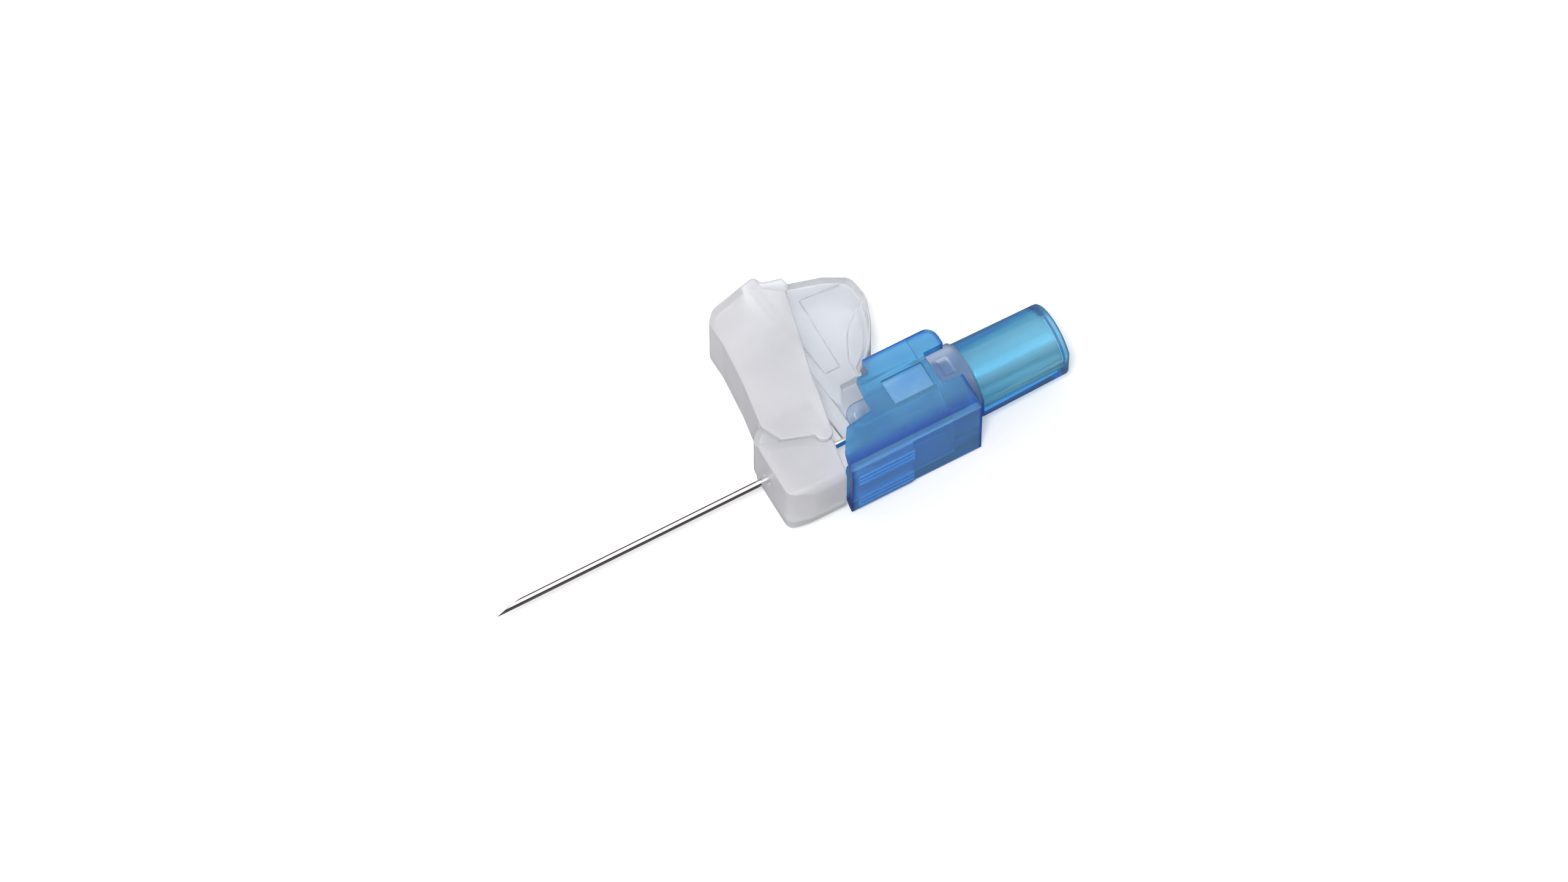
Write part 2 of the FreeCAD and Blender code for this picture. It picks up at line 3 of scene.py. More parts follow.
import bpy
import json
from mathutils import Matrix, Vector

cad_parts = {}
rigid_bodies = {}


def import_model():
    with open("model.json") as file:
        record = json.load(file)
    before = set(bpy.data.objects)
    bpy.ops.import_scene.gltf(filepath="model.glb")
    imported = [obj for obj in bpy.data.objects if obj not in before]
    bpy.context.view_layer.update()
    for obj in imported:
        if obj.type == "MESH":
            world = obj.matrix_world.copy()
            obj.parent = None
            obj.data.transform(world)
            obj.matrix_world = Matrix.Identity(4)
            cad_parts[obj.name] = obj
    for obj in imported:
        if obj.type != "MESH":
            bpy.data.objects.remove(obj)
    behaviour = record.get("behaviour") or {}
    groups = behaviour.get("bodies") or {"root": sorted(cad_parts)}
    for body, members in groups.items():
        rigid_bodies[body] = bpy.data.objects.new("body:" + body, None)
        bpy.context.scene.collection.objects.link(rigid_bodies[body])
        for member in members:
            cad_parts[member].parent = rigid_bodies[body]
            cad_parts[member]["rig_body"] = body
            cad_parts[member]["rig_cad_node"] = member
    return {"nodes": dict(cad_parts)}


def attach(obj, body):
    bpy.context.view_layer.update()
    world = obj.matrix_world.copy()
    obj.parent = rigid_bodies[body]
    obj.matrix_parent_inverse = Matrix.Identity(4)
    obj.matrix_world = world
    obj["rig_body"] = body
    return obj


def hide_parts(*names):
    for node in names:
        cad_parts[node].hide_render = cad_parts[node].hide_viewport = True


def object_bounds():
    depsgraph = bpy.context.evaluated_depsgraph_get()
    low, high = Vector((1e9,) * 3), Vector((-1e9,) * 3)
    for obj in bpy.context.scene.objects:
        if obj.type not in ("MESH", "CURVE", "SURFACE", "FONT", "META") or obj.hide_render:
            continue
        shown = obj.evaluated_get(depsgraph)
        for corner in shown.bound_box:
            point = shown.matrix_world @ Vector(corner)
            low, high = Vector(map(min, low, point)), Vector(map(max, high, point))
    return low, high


bl_info = {
    "name": "Safety hypodermic needle",
    "version": (1, 0, 0),
    "blender": (4, 5, 0),
    "location": "View3D > Sidebar > Needle",
    "description": "Builds a safety needle with its folding shield round the packed parts",
    "category": "Object",
}

import json
import math

import bpy
from bpy.props import FloatProperty, FloatVectorProperty, IntProperty, PointerProperty
from mathutils import Vector

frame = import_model()
CAD_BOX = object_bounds()
NODES = frame["nodes"]
MM = 0.001
WHITE = (1.0, 1.0, 1.0, 1.0)

# Meshes: corners closer than the distance are joined, and edges flatter than the angle are shaded smooth
MERGE_DISTANCE = 1e-6
SMOOTH_ANGLE = math.radians(35)
SMOOTHING_SHARE = 0.5
CLIP_EDGE_WIDTH = 0.04 * MM

# Share of the lamps' light that goes through each plastic
FROSTED_PASSING = (0.08, 0.08, 0.08, 1.0)
CLEAR_PASSING = (0.27, 0.27, 0.27, 1.0)
COLLAR_PASSING = (0.20, 0.44, 0.62, 1.0)
HUB_PASSING = (0.22, 0.50, 0.66, 1.0)

# Moulded plastic: its gloss, the fast darkening of its blues with depth, and its grain
PLASTIC_IOR = 1.46
HUB_DENSITY = 620.0
COLLAR_DENSITY = 850.0
GRAIN_SCALE = 9000.0
GRAIN_DEPTH = 0.3
WAVE_SCALE = 420.0
WAVE_DEPTH = 0.5
CLOUD_SCALE = 260.0
TINT_DRIFT_START = 0.35
TINT_DRIFT_END = 0.7
PLASTIC_ROUGHNESS_SPREAD = 0.15
GRAIN_STRENGTH = 0.12
GRAIN_RELIEF = 0.05 * MM

# Drawn steel
STREAK_STRETCH = (0.02, 1.0, 1.0)
STREAK_SCALE = 12000.0
STREAK_DARKENING = 0.8
STEEL_ROUGHNESS_SPREAD = 0.3
STREAK_RELIEF = 0.01 * MM

# The hub's matt socket and satin rim
SOCKET_REACH = 2.4 * MM
SOCKET_FLOOR_X = -11.5 * MM
SOCKET_MOUTH_X = -0.6 * MM
RIM_X = -0.5 * MM

# The collar's windows, on both sides
WINDOW_LOW = Vector((-17.5, -0.9)) * MM
WINDOW_HIGH = Vector((-13.2, 1.9)) * MM
WINDOW_INNER_Z = 3.5 * MM
WINDOW_OUTER_Z = 3.95 * MM
WINDOW_FACING = 0.8

# Painted shade on the collar's lower corner and its front, rear and top edges, and painted light on its
# underside
CORNER_Y = -4.35 * MM
CORNER_FADE = 1.7 * MM
FRONT_EDGE_X = -24.4 * MM
FRONT_EDGE_FADE = 0.45 * MM
REAR_EDGE_X = -10.85 * MM
TOP_EDGE_Y = 4.3 * MM
EDGE_FADE = 0.3 * MM
UNDERSIDE_Y = -4.6 * MM
UNDERSIDE_FADE = 0.4 * MM
# A lighter blue painted on the underside as painted light
PAINTED_UNDERSIDE_LIGHT = (0.27, 0.64, 1.0, 1.0)

# Floor: its colour to light, and what outer mirror reflections see of it
FLOOR_GAP = 0.02 * MM
FLOOR_COLOUR = (0.9, 0.9, 0.9, 1.0)
FLOOR_WHITE_SHARE = 0.3
MIRRORED_FLOOR = (0.10, 0.09, 0.09, 1.0)

# Surroundings: brighter towards the light, with a dark band low round the needle in outer mirror reflections
LIGHT_DIRECTION = (-0.2, 0.55, 0.81)
GRADE_START = -0.6
WORLD_SHADE = 0.6
WORLD_BRIGHT = 1.45
INNER_SHADE = 0.4
INNER_BRIGHT = 1.3
MIRRORED_WALL = (0.03, 0.03, 0.035, 1.0)
MIRRORED_WALL_STRENGTH = 1.2
WALL_DARK_END = 0.72
WALL_WHITE_START = 0.82

# Camera and lamps
TARGET = Vector((-27.24, 2.75, 0.0)) * MM
CAMERA_AZIMUTH = math.radians(-29.3)
CAMERA_ELEVATION = math.radians(62.0)
SENSOR_WIDTH = 36.0
NEAREST_SEEN = 0.01
FARTHEST_SEEN = 20.0
KEY_OFFSET = Vector((-0.12, 0.22, 0.30))
KEY_SIZE = 0.16
FRONT_DISTANCE = 0.6
FRONT_OFFSET = Vector((-0.012, 0.05, 0.0))
FRONT_SIZE = 0.10


class MouldSettings(bpy.types.PropertyGroup):
    """How finely the moulded pieces are skinned and how soft their edges are."""

    skin_step: FloatProperty(
        name="Skin step", description="Size of the squares that a moulded skin is made of",
        default=0.08 * MM, unit="LENGTH")
    thin_skin_step: FloatProperty(
        name="Thin skin step", description="The same for pieces with thin walls",
        default=0.07 * MM, unit="LENGTH")
    fine_skin_step: FloatProperty(
        name="Fine skin step", description="The same for the ribbed collar",
        default=0.05 * MM, unit="LENGTH")
    softening: IntProperty(
        name="Edge softening", description="How many times the skin is evened out, which rounds its edges",
        default=5, min=0, max=30)
    crisp_softening: IntProperty(
        name="Crisp edge softening", description="The same for the collar, whose edges are sharper",
        default=2, min=0, max=30)
    triangle_limit: IntProperty(
        name="Triangle limit", description="Most triangles that one piece keeps",
        default=150000, min=1000)


class ColourSettings(bpy.types.PropertyGroup):
    """Colours of the plastics and the steel."""

    hub_blue: FloatVectorProperty(
        name="Hub blue", description="Tint of the clear blue hub", subtype="COLOR", size=4,
        default=(0.14, 0.74, 0.92, 1.0))
    collar_blue: FloatVectorProperty(
        name="Collar blue", description="Tint of the blue collar", subtype="COLOR", size=4,
        default=(0.19, 0.55, 0.74, 1.0))
    milky: FloatVectorProperty(
        name="Frosted shield", description="Tint of the frosted front arm and guard", subtype="COLOR", size=4,
        default=(0.875, 0.875, 0.90, 1.0))
    clear: FloatVectorProperty(
        name="Clear arm", description="Tint of the clearer rear arm", subtype="COLOR", size=4,
        default=(0.92, 0.94, 0.97, 1.0))
    steel: FloatVectorProperty(
        name="Steel", description="Colour of the polished steel", subtype="COLOR", size=4,
        default=(0.94, 0.92, 0.91, 1.0))


class StudioSettings(bpy.types.PropertyGroup):
    """Floor, lights and camera."""

    floor_size: FloatProperty(
        name="Floor size", description="Side of the pale floor", default=6.0, unit="LENGTH")
    key_watts: FloatProperty(
        name="Key light", description="Power of the soft lamp at the upper left", default=0.25, unit="POWER")
    front_watts: FloatProperty(
        name="Front light", description="Power of the soft lamp beside the camera", default=2.4, unit="POWER")
    world_strength: FloatProperty(
        name="Surrounding light", description="Brightness of the studio around the needle", default=0.55)
    camera_distance: FloatProperty(
        name="Camera distance", description="From the camera to the middle of the needle", default=0.9,
        unit="LENGTH")
    lens: FloatProperty(
        name="Lens", description="Focal length of the camera", default=222.8, unit="CAMERA")


def deselect_all():
    """Leaves nothing selected, because operators act on all that is."""
    if bpy.context.object and bpy.context.object.mode != "OBJECT":
        bpy.ops.object.mode_set(mode="OBJECT")
    bpy.ops.object.select_all(action="DESELECT")


def make_active(piece):
    """Selects one piece alone."""
    deselect_all()
    piece.select_set(True)
    bpy.context.view_layer.objects.active = piece


def apply_modifier(piece, kind, **settings):
    """Adds a modifier with its settings and applies it."""
    make_active(piece)
    modifier = piece.modifiers.new(kind.title(), kind)
    for name, value in settings.items():
        setattr(modifier, name, value)
    bpy.ops.object.modifier_apply(modifier=modifier.name)


def shade_by_angle(piece):
    """Shades a piece smooth and keeps its sharp edges."""
    make_active(piece)
    bpy.ops.object.shade_smooth_by_angle(angle=SMOOTH_ANGLE)


def copy_of_node(node, name):
    """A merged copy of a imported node, free of its body."""
    make_active(NODES[node])
    bpy.ops.object.duplicate()
    piece = bpy.context.active_object
    piece.name = name
    piece.data.name = name
    piece.parent = None
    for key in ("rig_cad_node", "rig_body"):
        if key in piece:
            del piece[key]
    piece.data.materials.clear()
    make_active(piece)
    bpy.ops.object.mode_set(mode="EDIT")
    bpy.ops.mesh.select_all(action="SELECT")
    bpy.ops.mesh.customdata_custom_splitnormals_clear()
    bpy.ops.mesh.remove_doubles(threshold=MERGE_DISTANCE)
    bpy.ops.mesh.normals_make_consistent(inside=False)
    bpy.ops.object.mode_set(mode="OBJECT")
    return piece


def moulded_skin(node, name, step, softening):
    """A copy of a node with the small rounded edges that a mould gives."""
    piece = copy_of_node(node, name)
    apply_modifier(piece, "REMESH", mode="VOXEL", voxel_size=step, adaptivity=0.0)
    apply_modifier(piece, "SMOOTH", factor=SMOOTHING_SHARE, iterations=softening)
    triangles = len(piece.data.polygons) * 2
    limit = bpy.context.scene.needle_mould.triangle_limit
    if triangles > limit:
        apply_modifier(piece, "DECIMATE", ratio=limit / triangles)
    make_active(piece)
    bpy.ops.object.shade_smooth()
    return piece


def set_in_place(piece, node, body, slot, *materials):
    """Gives a piece its materials and its body, and hides the node that it stands for."""
    piece.data.materials.clear()
    for material in materials:
        piece.data.materials.append(material)
    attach(piece, body)
    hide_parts(node)


def feed(socket, value):
    """Links another node's output to a socket, or sets the socket to a plain value."""
    if isinstance(value, bpy.types.NodeSocket):
        socket.id_data.links.new(value, socket)
    else:
        socket.default_value = value


def add_node(tree, kind, inputs=None, **settings):
    """Adds a node with its settings and feeds its inputs."""
    node = tree.nodes.new(kind)
    for name, value in settings.items():
        setattr(node, name, value)
    for name, value in (inputs or {}).items():
        feed(node.inputs[name], value)
    return node


def worked_out(tree, operation, first, second):
    """The result of an operation on two numbers or outputs."""
    return add_node(tree, "ShaderNodeMath", {0: first, 1: second}, operation=operation).outputs[0]


def mixed(tree, factor, first, second):
    """A colour between two colours or outputs."""
    node = add_node(tree, "ShaderNodeMix", {"Factor": factor, "A": first, "B": second}, data_type="RGBA")
    return node.outputs["Result"]


def blended(tree, factor, first, second):
    """A shader between two shaders."""
    return add_node(tree, "ShaderNodeMixShader", {0: factor, 1: first, 2: second}).outputs[0]


def spread(tree, factor, middle, share):
    """A value that varies by a share to both sides of its middle."""
    node = add_node(tree, "ShaderNodeMapRange", {
        "Value": factor, "To Min": middle * (1 - share), "To Max": middle * (1 + share)})
    return node.outputs["Result"]


def new_material(name):
    """An empty node material."""
    material = bpy.data.materials.new(name)
    material.use_nodes = True
    material.node_tree.nodes.clear()
    return material


def new_group(name, inputs, outputs):
    """An empty shader node group with its named sockets."""
    group = bpy.data.node_groups.new(name, "ShaderNodeTree")
    for socket_name, value in inputs.items():
        socket = group.interface.new_socket(
            name=socket_name, in_out="INPUT", socket_type="NodeSocketFloat")
        socket.default_value = value
    for socket_name in outputs:
        group.interface.new_socket(name=socket_name, in_out="OUTPUT", socket_type="NodeSocketFloat")
    return group


def mould_grain_group():
    """Fine moulded grain with a slow waviness, and a cloud for faint flow marks, by Object coordinates."""
    name = "mould_grain"
    if name in bpy.data.node_groups:
        return bpy.data.node_groups[name]
    group = new_group(
        name, {"Grain size": GRAIN_SCALE, "Grain depth": GRAIN_DEPTH, "Wave depth": WAVE_DEPTH},
        ("Height", "Cloud"))
    given = add_node(group, "NodeGroupInput")
    place = add_node(group, "ShaderNodeTexCoord").outputs["Object"]
    grain = add_node(group, "ShaderNodeTexNoise", {
        "Vector": place, "Scale": given.outputs["Grain size"], "Detail": 3.0})
    wave = add_node(group, "ShaderNodeTexNoise", {"Vector": place, "Scale": WAVE_SCALE, "Detail": 2.0})
    cloud = add_node(group, "ShaderNodeTexNoise", {"Vector": place, "Scale": CLOUD_SCALE, "Detail": 3.0})
    grain_height = worked_out(group, "MULTIPLY", grain.outputs["Fac"], given.outputs["Grain depth"])
    wave_height = worked_out(group, "MULTIPLY", wave.outputs["Fac"], given.outputs["Wave depth"])
    add_node(group, "NodeGroupOutput", {
        "Height": worked_out(group, "ADD", grain_height, wave_height),
        "Cloud": cloud.outputs["Fac"],
    })
    return group


def painted_shade_masks_group():
    """Masks by Object coordinates for painted light and shade: painted shade along the collar's lower corner
    and edges, and painted light on its underside.
    """
    name = "thick_places"
    if name in bpy.data.node_groups:
        return bpy.data.node_groups[name]
    group = new_group(
        name, {"Corner height": CORNER_Y, "Fade": CORNER_FADE, "Front edge": FRONT_EDGE_X},
        ("Painted edge shade", "Painted underside light"))
    given = add_node(group, "NodeGroupInput")
    place = add_node(group, "ShaderNodeTexCoord")
    apart = add_node(group, "ShaderNodeSeparateXYZ", {0: place.outputs["Object"]})
    x, y = apart.outputs["X"], apart.outputs["Y"]

    def value(operation, first, second):
        return worked_out(group, operation, first, second)

    above = value("SUBTRACT", y, given.outputs["Corner height"])
    faded = value("SUBTRACT", 1.0, value("DIVIDE", above, given.outputs["Fade"]))
    corner = value("MULTIPLY", faded, value("GREATER_THAN", above, 0.0))
    behind = value("SUBTRACT", x, given.outputs["Front edge"])
    front = value("SUBTRACT", 1.0, value("DIVIDE", behind, FRONT_EDGE_FADE))
    rear = value("DIVIDE", value("SUBTRACT", x, REAR_EDGE_X), EDGE_FADE)
    top = value("DIVIDE", value("SUBTRACT", y, TOP_EDGE_Y), EDGE_FADE)
    edges = value("MAXIMUM", value("MAXIMUM", front, rear), top)
    mask = value("MAXIMUM", value("MAXIMUM", corner, edges), 0.0)
    below = value("DIVIDE", value("SUBTRACT", UNDERSIDE_Y, y), UNDERSIDE_FADE)
    add_node(group, "NodeGroupOutput", {
        "Painted edge shade": value("MINIMUM", mask, 1.0),
        "Painted underside light": value("MINIMUM", value("MAXIMUM", below, 0.0), 1.0),
    })
    return group


def plastic_material(name, colour, deep, transmission, roughness, metallic=0.0, passing=FROSTED_PASSING,
                     thickness_tint=None, tint_density=0.0, painted_edge_shade=None, open_side=None):
    """A moulded plastic whose tint drifts between two shades. A thickness tint darkens its thick places.

    Its shadow is thin, because lamp light goes through it. An open side's colour shows where the surface is
    seen from the air, and the drifting tint then shows from inside the plastic."""
    material = new_material(name)
    tree = material.node_tree
    texture = add_node(tree, "ShaderNodeGroup", node_tree=mould_grain_group())
    cloud = texture.outputs["Cloud"]
    drift = add_node(tree, "ShaderNodeMapRange", {
        "Value": cloud, "From Min": TINT_DRIFT_START, "From Max": TINT_DRIFT_END})
    tint = mixed(tree, drift.outputs["Result"], colour, deep)
    # Painted shade: a deep blue on the collar's lower corner and edges. Painted light: a lighter blue on its
    # underside.
    if painted_edge_shade:
        places = add_node(tree, "ShaderNodeGroup", node_tree=painted_shade_masks_group())
        # Painted light: the underside is mixed towards a lighter blue.
        tint = mixed(tree, places.outputs["Painted underside light"], tint, PAINTED_UNDERSIDE_LIGHT)
        tint = mixed(tree, places.outputs["Painted edge shade"], tint, painted_edge_shade)
    if open_side:
        side = add_node(tree, "ShaderNodeNewGeometry")
        tint = mixed(tree, side.outputs["Backfacing"], open_side, tint)
    relief = add_node(tree, "ShaderNodeBump", {
        "Height": texture.outputs["Height"], "Strength": GRAIN_STRENGTH, "Distance": GRAIN_RELIEF})
    shader = add_node(tree, "ShaderNodeBsdfPrincipled", {
        "Base Color": tint,
        "Metallic": metallic,
        "Roughness": spread(tree, cloud, roughness, PLASTIC_ROUGHNESS_SPREAD),
        "IOR": PLASTIC_IOR,
        "Transmission Weight": transmission,
        "Normal": relief.outputs["Normal"],
    })
    passed = add_node(tree, "ShaderNodeBsdfTransparent", {"Color": passing})
    path = add_node(tree, "ShaderNodeLightPath")
    surface = blended(tree, path.outputs["Is Shadow Ray"], shader.outputs["BSDF"], passed.outputs["BSDF"])
    output = add_node(tree, "ShaderNodeOutputMaterial", {"Surface": surface})
    if thickness_tint:
        absorption = add_node(tree, "ShaderNodeVolumeAbsorption", {
            "Color": thickness_tint, "Density": tint_density})
        feed(output.inputs["Volume"], absorption.outputs["Volume"])
    return material


def steel_material(name, colour, roughness, streak_strength):
    """Steel with fine streaks drawn along the needle."""
    material = new_material(name)
    tree = material.node_tree
    place = add_node(tree, "ShaderNodeTexCoord")
    stretch = add_node(tree, "ShaderNodeMapping", {
        "Vector": place.outputs["Object"], "Scale": STREAK_STRETCH})
    noise = add_node(tree, "ShaderNodeTexNoise", {
        "Vector": stretch.outputs["Vector"], "Scale": STREAK_SCALE, "Detail": 4.0})
    streaks = noise.outputs["Fac"]
    darker = tuple(part * STREAK_DARKENING for part in colour[:3]) + (1.0,)
    relief = add_node(tree, "ShaderNodeBump", {
        "Height": streaks, "Strength": streak_strength, "Distance": STREAK_RELIEF})
    shader = add_node(tree, "ShaderNodeBsdfPrincipled", {
        "Base Color": mixed(tree, streaks, colour, darker),
        "Metallic": 1.0,
        "Roughness": spread(tree, streaks, roughness, STEEL_ROUGHNESS_SPREAD),
        "Normal": relief.outputs["Normal"],
    })
    add_node(tree, "ShaderNodeOutputMaterial", {"Surface": shader.outputs["BSDF"]})
    return material


class NEEDLE_OT_cannula(bpy.types.Operator):
    """Dresses the steel cannula and the adhesive that holds it"""

    bl_idname = "needle.cannula"
    bl_label = "Cannula and adhesive"

    def execute(self, context):
        tube = copy_of_node("needle_cannula", "cannula_tube")
        shade_by_angle(tube)
        steel = steel_material(
            "polished_needle_steel", tuple(context.scene.needle_colours.steel),
            roughness=0.05, streak_strength=0.1)
        set_in_place(tube, "needle_cannula", "hub_assembly", "steel", steel)
        bead = copy_of_node("glue_bead", "adhesive_bead")
        shade_by_angle(bead)
        adhesive = plastic_material(
            "clear_adhesive_resin", colour=(0.9, 0.92, 0.93, 1), deep=(0.8, 0.84, 0.86, 1),
            transmission=0.9, roughness=0.08)
        set_in_place(bead, "glue_bead", "hub_assembly", "clear_adhesive", adhesive)
        return {"FINISHED"}


class NEEDLE_OT_hub(bpy.types.Operator):
    """Makes the clear blue hub with its matt tapered socket"""

    bl_idname = "needle.hub"
    bl_label = "Luer hub"

    def execute(self, context):
        mould = context.scene.needle_mould
        hub = moulded_skin("luer_hub", "hub_barrel", mould.skin_step, mould.softening)
        blue = {
            "thickness_tint": tuple(context.scene.needle_colours.hub_blue),
            "tint_density": HUB_DENSITY,
            "passing": HUB_PASSING,
        }
        clear = plastic_material(
            "clear_blue_hub", colour=(0.52, 0.86, 1.0, 1), deep=(0.45, 0.82, 0.98, 1),
            transmission=0.92, roughness=0.07, **blue)
        matt = plastic_material(
            "matt_blue_socket", colour=(1.0, 0.69, 0.60, 1), deep=(0.92, 0.66, 0.58, 1),
            transmission=0.05, roughness=0.34, metallic=0.8, open_side=(0.16, 0.50, 0.80, 1), **blue)
        satin = plastic_material(
            "satin_blue_rim", colour=(0.50, 0.80, 0.95, 1), deep=(0.42, 0.74, 0.92, 1),
            transmission=0.9, roughness=0.3, **blue)
        set_in_place(hub, "luer_hub", "hub_assembly", "blue_hub", clear, matt, satin)
        matt_index, satin_index = 1, 2
        for face in hub.data.polygons:
            x, y, z = face.center
            if math.hypot(y, z) < SOCKET_REACH and SOCKET_FLOOR_X < x < SOCKET_MOUTH_X:
                face.material_index = matt_index
            elif x > RIM_X:
                face.material_index = satin_index
        return {"FINISHED"}


class NEEDLE_OT_collar(bpy.types.Operator):
    """Makes the blue collar and the clear carrier under it"""

    bl_idname = "needle.collar"
    bl_label = "Collar and carrier"

    def execute(self, context):
        mould = context.scene.needle_mould
        collar = moulded_skin("collar", "collar_housing", mould.fine_skin_step, mould.crisp_softening)
        # The collar gets painted shade, a deep blue on its lower corner and edges, and painted light, a
        # lighter blue on its underside.
        blue = plastic_material(
            "satin_blue_collar", colour=tuple(context.scene.needle_colours.collar_blue),
            deep=(0.12, 0.44, 0.69, 1), transmission=0.8, roughness=0.22, passing=COLLAR_PASSING,
            thickness_tint=(0.24, 0.60, 0.82, 1), tint_density=COLLAR_DENSITY,
            painted_edge_shade=(0.004, 0.15, 0.62, 1))
        # The window skin gets a lighter blue copy of the collar plastic: this is partly its thinness and
        # partly painted light.
        thin = plastic_material(
            "window_blue_painted_lighter", colour=(0.34, 0.64, 0.86, 1), deep=(0.18, 0.50, 0.80, 1),
            transmission=0.66, roughness=0.28, passing=COLLAR_PASSING,
            thickness_tint=(0.24, 0.57, 0.78, 1), tint_density=COLLAR_DENSITY)
        set_in_place(collar, "collar", "hub_assembly", "blue_collar", blue, thin)
        lighter_window_index = 1
        for face in collar.data.polygons:
            x, y, z = face.center
            if abs(face.normal.z) > WINDOW_FACING and WINDOW_INNER_Z < abs(z) < WINDOW_OUTER_Z:
                if WINDOW_LOW.x < x < WINDOW_HIGH.x and WINDOW_LOW.y < y < WINDOW_HIGH.y:
                    face.material_index = lighter_window_index
        ring = moulded_skin("shield_carrier", "carrier_ring", mould.thin_skin_step, mould.softening)
        clear = plastic_material(
            "clear_carrier_plastic", colour=(0.74, 0.84, 0.97, 1), deep=(0.66, 0.77, 0.94, 1),
            transmission=0.97, roughness=0.34, passing=CLEAR_PASSING)
        set_in_place(ring, "shield_carrier", "hub_assembly", "clear_plastic", clear)
        return {"FINISHED"}


class NEEDLE_OT_arms(bpy.types.Operator):
    """Makes the rear arm with its thumb pad and the frosted front arm"""

    bl_idname = "needle.arms"
    bl_label = "Folding arms"

    def execute(self, context):
        mould = context.scene.needle_mould
        colours = context.scene.needle_colours
        rear = moulded_skin("rear_arm", "rear_arm_moulding", mould.skin_step, mould.softening)
        clear = plastic_material(
            "clear_arm_plastic", colour=tuple(colours.clear), deep=(0.84, 0.86, 0.90, 1),
            transmission=0.88, roughness=0.25, passing=CLEAR_PASSING)
        milky = plastic_material(
            "frosted_shield_plastic", colour=tuple(colours.milky), deep=(0.82, 0.82, 0.85, 1),
            transmission=0.72, roughness=0.45)
        set_in_place(rear, "rear_arm", "rear_arm", "clear_plastic", clear)
        front = moulded_skin("front_arm", "front_arm_moulding", mould.skin_step, mould.softening)
        set_in_place(front, "front_arm", "front_arm", "frosted_plastic", milky)
        return {"FINISHED"}


class NEEDLE_OT_guard(bpy.types.Operator):
    """Makes the frosted guard and the steel clip in it"""

    bl_idname = "needle.guard"
    bl_label = "Guard and clip"

    def execute(self, context):
        mould = context.scene.needle_mould
        guard = moulded_skin("needle_guard", "guard_shell", mould.skin_step, mould.softening)
        milky = bpy.data.materials["frosted_shield_plastic"]
        set_in_place(guard, "needle_guard", "guard", "frosted_plastic", milky)
        clip = copy_of_node("lock_clip", "locking_clip")
        apply_modifier(clip, "BEVEL", width=CLIP_EDGE_WIDTH, segments=2, limit_method="ANGLE")
        shade_by_angle(clip)
        spring = steel_material(
            "satin_spring_steel", (0.5, 0.5, 0.51, 1), roughness=0.3, streak_strength=0.3)
        set_in_place(clip, "lock_clip", "guard", "spring_steel", spring)
        return {"FINISHED"}


def white_seen_rays(tree):
    """One where a ray comes from the camera, a reflection or through glass."""
    path = add_node(tree, "ShaderNodeLightPath").outputs
    seen = worked_out(tree, "MAXIMUM", path["Is Camera Ray"], path["Is Glossy Ray"])
    return worked_out(tree, "MAXIMUM", seen, path["Is Transmission Ray"])


def plain_mirror_rays(tree):
    """One where a ray is mirrored by an outer surface, not inside a clear piece."""
    path = add_node(tree, "ShaderNodeLightPath").outputs
    outside = worked_out(tree, "LESS_THAN", path["Transmission Depth"], 0.5)
    return worked_out(tree, "MULTIPLY", outside, path["Is Glossy Ray"])


def make_floor(size):
    """Adds the pale floor just under the needle."""
    deselect_all()
    bpy.ops.mesh.primitive_plane_add(size=size, location=(0, 0, CAD_BOX[0].z - FLOOR_GAP))
    floor = bpy.context.active_object
    floor.name = "studio_floor"
    material = new_material("pale_floor")
    tree = material.node_tree
    matt = add_node(tree, "ShaderNodeBsdfDiffuse", {"Color": FLOOR_COLOUR})
    glow = add_node(tree, "ShaderNodeEmission", {"Color": WHITE, "Strength": 1.0})
    dim = add_node(tree, "ShaderNodeEmission", {"Color": MIRRORED_FLOOR})
    share = worked_out(tree, "MULTIPLY", white_seen_rays(tree), FLOOR_WHITE_SHARE)
    pale = blended(tree, share, matt.outputs[0], glow.outputs[0])
    surface = blended(tree, plain_mirror_rays(tree), pale, dim.outputs[0])
    add_node(tree, "ShaderNodeOutputMaterial", {"Surface": surface})
    floor.data.materials.append(material)


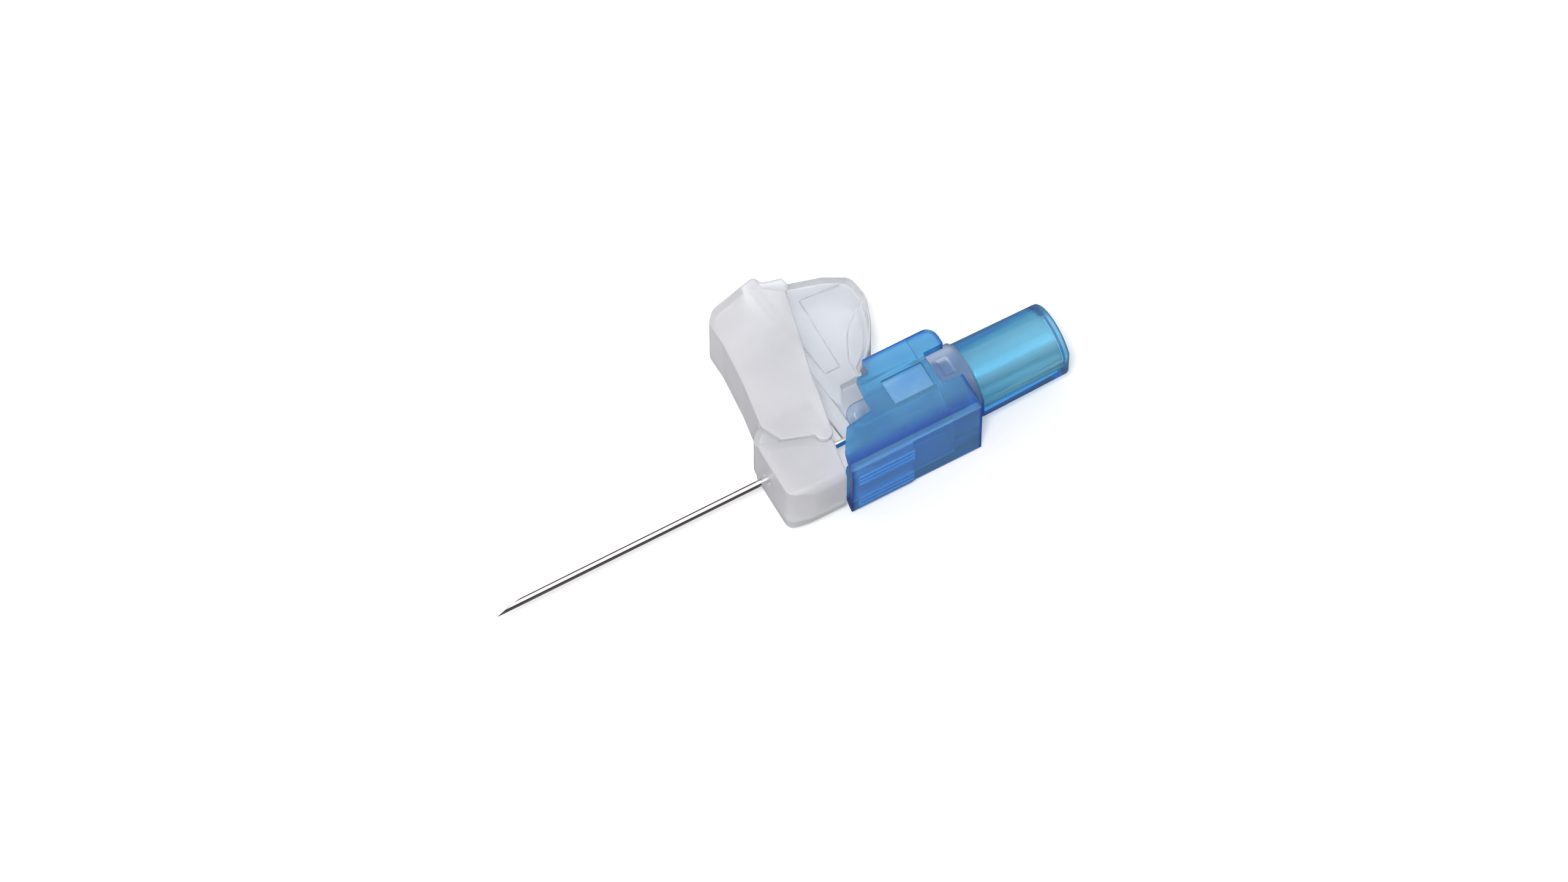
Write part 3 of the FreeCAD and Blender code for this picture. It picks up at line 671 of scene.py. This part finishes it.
def make_world(strength):
    """Surrounds the needle with soft light that is white where it is seen directly or through glass."""
    world = bpy.data.worlds.new("studio_world")
    bpy.context.scene.world = world
    world.use_nodes = True
    tree = world.node_tree
    tree.nodes.clear()
    place = add_node(tree, "ShaderNodeTexCoord").outputs["Generated"]
    towards_light = add_node(
        tree, "ShaderNodeVectorMath", {0: place, 1: LIGHT_DIRECTION}, operation="DOT_PRODUCT")

    def backdrop(colour, brightness):
        return add_node(tree, "ShaderNodeBackground", {"Color": colour, "Strength": brightness}).outputs[0]

    def graded(low, high):
        node = add_node(tree, "ShaderNodeMapRange", {
            "Value": towards_light.outputs["Value"], "From Min": GRADE_START,
            "To Min": low, "To Max": high})
        return node.outputs["Result"]

    apart = add_node(tree, "ShaderNodeSeparateXYZ", {0: place})
    height = add_node(tree, "ShaderNodeMapRange", {"Value": apart.outputs["Z"], "From Min": -1.0})
    walls = add_node(tree, "ShaderNodeValToRGB", {"Fac": height.outputs["Result"]})
    dark, bright = walls.color_ramp.elements
    dark.position, dark.color = WALL_DARK_END, MIRRORED_WALL
    bright.position, bright.color = WALL_WHITE_START, WHITE
    path = add_node(tree, "ShaderNodeLightPath")
    lit = backdrop(WHITE, graded(strength * WORLD_SHADE, strength * WORLD_BRIGHT))
    inner = backdrop(WHITE, graded(INNER_SHADE, INNER_BRIGHT))
    seen = blended(tree, path.outputs["Is Glossy Ray"], backdrop(WHITE, 1.0), inner)
    plain = blended(tree, white_seen_rays(tree), lit, seen)
    dim_walls = backdrop(walls.outputs["Color"], MIRRORED_WALL_STRENGTH)
    surface = blended(tree, plain_mirror_rays(tree), plain, dim_walls)
    add_node(tree, "ShaderNodeOutputWorld", {"Surface": surface})


def add_lamp(name, location, size, watts):
    """Adds a soft round lamp that points at the needle."""
    deselect_all()
    bpy.ops.object.light_add(type="AREA", location=location)
    lamp = bpy.context.active_object
    lamp.name = name
    lamp.data.shape = "DISK"
    lamp.data.size = size
    lamp.data.energy = watts
    lamp.rotation_euler = (TARGET - lamp.location).to_track_quat("-Z", "Y").to_euler()


class NEEDLE_OT_studio(bpy.types.Operator):
    """Sets up the pale floor, the soft light and the camera"""

    bl_idname = "needle.studio"
    bl_label = "Studio"

    def execute(self, context):
        studio = context.scene.needle_studio
        make_floor(studio.floor_size)
        make_world(studio.world_strength)
        back = Vector((
            math.sin(CAMERA_AZIMUTH) * math.cos(CAMERA_ELEVATION),
            -math.cos(CAMERA_AZIMUTH) * math.cos(CAMERA_ELEVATION),
            math.sin(CAMERA_ELEVATION)))
        add_lamp("key_light", TARGET + KEY_OFFSET, KEY_SIZE, studio.key_watts)
        add_lamp("front_light", TARGET + back * FRONT_DISTANCE + FRONT_OFFSET, FRONT_SIZE, studio.front_watts)
        bpy.ops.object.camera_add(location=TARGET + back * studio.camera_distance)
        camera = context.active_object
        camera.rotation_euler = (-back).to_track_quat("-Z", "Y").to_euler()
        camera.data.lens = studio.lens
        camera.data.sensor_width = SENSOR_WIDTH
        camera.data.clip_start = NEAREST_SEEN
        camera.data.clip_end = FARTHEST_SEEN
        context.scene.camera = camera
        context.scene.view_settings.view_transform = "Standard"
        return {"FINISHED"}


class NEEDLE_PT_panel(bpy.types.Panel):
    """Lists the steps that build the needle"""

    bl_idname = "NEEDLE_PT_panel"
    bl_label = "Safety needle"
    bl_space_type = "VIEW_3D"
    bl_region_type = "UI"
    bl_category = "Needle"

    def draw(self, context):
        column = self.layout.column()
        for step in STEPS:
            column.operator(step.bl_idname)
        for group in GROUPS:
            settings = getattr(context.scene, group)
            for name in settings.__annotations__:
                column.prop(settings, name)


STEPS = (
    NEEDLE_OT_cannula,
    NEEDLE_OT_hub,
    NEEDLE_OT_collar,
    NEEDLE_OT_arms,
    NEEDLE_OT_guard,
    NEEDLE_OT_studio,
)
GROUPS = {
    "needle_mould": MouldSettings,
    "needle_colours": ColourSettings,
    "needle_studio": StudioSettings,
}


def register():
    for name, group in GROUPS.items():
        bpy.utils.register_class(group)
        setattr(bpy.types.Scene, name, PointerProperty(type=group))
    for step in STEPS:
        bpy.utils.register_class(step)
    bpy.utils.register_class(NEEDLE_PT_panel)


def unregister():
    bpy.utils.unregister_class(NEEDLE_PT_panel)
    for step in reversed(STEPS):
        bpy.utils.unregister_class(step)
    for name, group in GROUPS.items():
        delattr(bpy.types.Scene, name)
        bpy.utils.unregister_class(group)


def main():
    """Builds everything in order."""
    register()
    bpy.ops.needle.cannula()
    bpy.ops.needle.hub()
    bpy.ops.needle.collar()
    bpy.ops.needle.arms()
    bpy.ops.needle.guard()
    bpy.ops.needle.studio()


if __name__ == "__main__":
    main()
